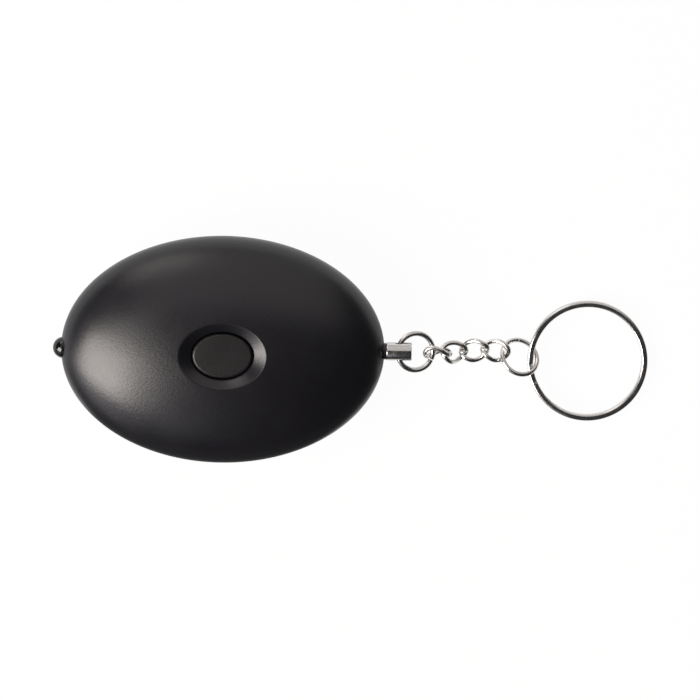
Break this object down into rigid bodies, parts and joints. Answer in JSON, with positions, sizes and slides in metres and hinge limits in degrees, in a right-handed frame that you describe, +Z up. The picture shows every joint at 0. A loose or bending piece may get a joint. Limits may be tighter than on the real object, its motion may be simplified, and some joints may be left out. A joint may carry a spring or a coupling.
{
  "type": "personal safety alarm",
  "caption": "Oval hand-held safety alarm with a push button, an end light and a plated pull pin on a short chain to a split key ring; pulling the pin sets off the siren.",
  "frame": {"origin": "centre of the flat rear face that the alarm lies on", "axes": "+X along the pull pin, out of the housing towards the key ring; +Z up out of the button side; +Y across the housing"},
  "size_m": [0.1382, 0.053, 0.0245],
  "materials": {
    "shell_plastic": "satin black moulded plastic with a fine grain",
    "button_plastic": "matt black moulded plastic",
    "pin_plastic": "smooth black insulating plastic",
    "smoked_lens": "smoked cast lens, almost black",
    "nickel_plate": "bright nickel plate on steel wire",
    "bare_steel": "bare steel",
    "sheet_brass": "rolled sheet brass",
    "board_laminate": "glass-fibre laminate with solder mask",
    "component_black": "moulded epoxy",
    "white_plastic": "plain white moulded plastic",
    "ceramic": "silvered ceramic",
    "red_insulation": "soft wire insulation",
    "ferrite": "sintered ferrite",
    "copper_wire": "enamelled copper wire",
    "sleeve_blue": "shrunk sleeve"
  },
  "bodies": {
    "housing": {"front_shell": "shell_plastic", "rear_shell": "shell_plastic", "circuit_board": "board_laminate", "switch_body": "component_black", "led_lens": "smoked_lens", "led_leads": "bare_steel", "siren_disc": "sheet_brass", "siren_ceramic": "ceramic", "siren_wires": "red_insulation", "coil_core": "ferrite", "coil_winding": "copper_wire", "drive_transistor": "component_black", "control_chip": "component_black", "board_capacitor": "sleeve_blue", "battery_cells": "bare_steel", "battery_contact_positive": "bare_steel", "battery_contact_negative": "bare_steel", "contact_leaf_upper": "sheet_brass", "contact_leaf_lower": "sheet_brass", "contact_carrier": "white_plastic", "case_screws": "bare_steel"},
    "button": {"button_cap": "button_plastic"},
    "plunger": {"switch_plunger": "white_plastic"},
    "pull_pin": {"pin_shaft": "pin_plastic", "pin_head": "nickel_plate"},
    "pin_ring": {"pin_ring": "nickel_plate"},
    "chain_link_1": {"chain_link_1": "nickel_plate"},
    "chain_link_2": {"chain_link_2": "nickel_plate"},
    "chain_link_3": {"chain_link_3": "nickel_plate"},
    "chain_link_4": {"chain_link_4": "nickel_plate"},
    "key_jump_ring": {"key_jump_ring": "nickel_plate"},
    "split_ring": {"split_ring": "nickel_plate"}
  },
  "joints": [
    {"name": "button_press", "type": "slide", "parent": "housing", "child": "button", "axis": [0, 0, -1], "range_m": [0, 0.0006], "stiffness_N_per_m": 800},
    {"name": "plunger_press", "type": "slide", "parent": "housing", "child": "plunger", "axis": [0, 0, -1], "range_m": [0, 0.0006]},
    {"name": "pin_pull", "type": "slide", "parent": "housing", "child": "pull_pin", "axis": [1, 0, 0], "range_m": [0, 0.014]},
    {"name": "pin_ring_swing", "type": "hinge", "parent": "pull_pin", "child": "pin_ring", "pos_m": [0.0409, 0, 0.012], "axis": [0, 1, 0], "range_deg": [-45, 60]},
    {"name": "chain_link_1_swing", "type": "hinge", "parent": "pin_ring", "child": "chain_link_1", "pos_m": [0.049, -0.00025, 0.00945], "axis": [-0.2401, 0.9406, -0.2401], "range_deg": [-30, 35]},
    {"name": "chain_link_2_swing", "type": "hinge", "parent": "chain_link_1", "child": "chain_link_2", "pos_m": [0.05245, -0.00115, 0.0079], "axis": [0.1606, 0.1606, 0.9739], "range_deg": [-35, 35]},
    {"name": "chain_link_3_swing", "type": "hinge", "parent": "chain_link_2", "child": "chain_link_3", "pos_m": [0.05645, -0.0007, 0.0054], "axis": [0, 0.7507, 0.6606], "range_deg": [-35, 35]},
    {"name": "chain_link_4_swing", "type": "hinge", "parent": "chain_link_3", "child": "chain_link_4", "pos_m": [0.06045, -0.0002, 0.0059], "axis": [0.3097, -0.4995, 0.8091], "range_deg": [-35, 35]},
    {"name": "key_jump_ring_swing", "type": "hinge", "parent": "chain_link_4", "child": "key_jump_ring", "pos_m": [0.0651, -0.0007, 0.00505], "axis": [0.0601, 0.7814, -0.6211], "range_deg": [-35, 35]},
    {"name": "split_ring_swing", "type": "hinge", "parent": "key_jump_ring", "child": "split_ring", "pos_m": [0.0732, -0.0031, 0.00335], "axis": [-0.1791, 0.7663, -0.617], "range_deg": [-35, 35]}
  ],
  "couplings": [
    {"joint": "plunger_press", "follows": "button_press", "ratio": 1}
  ]
}
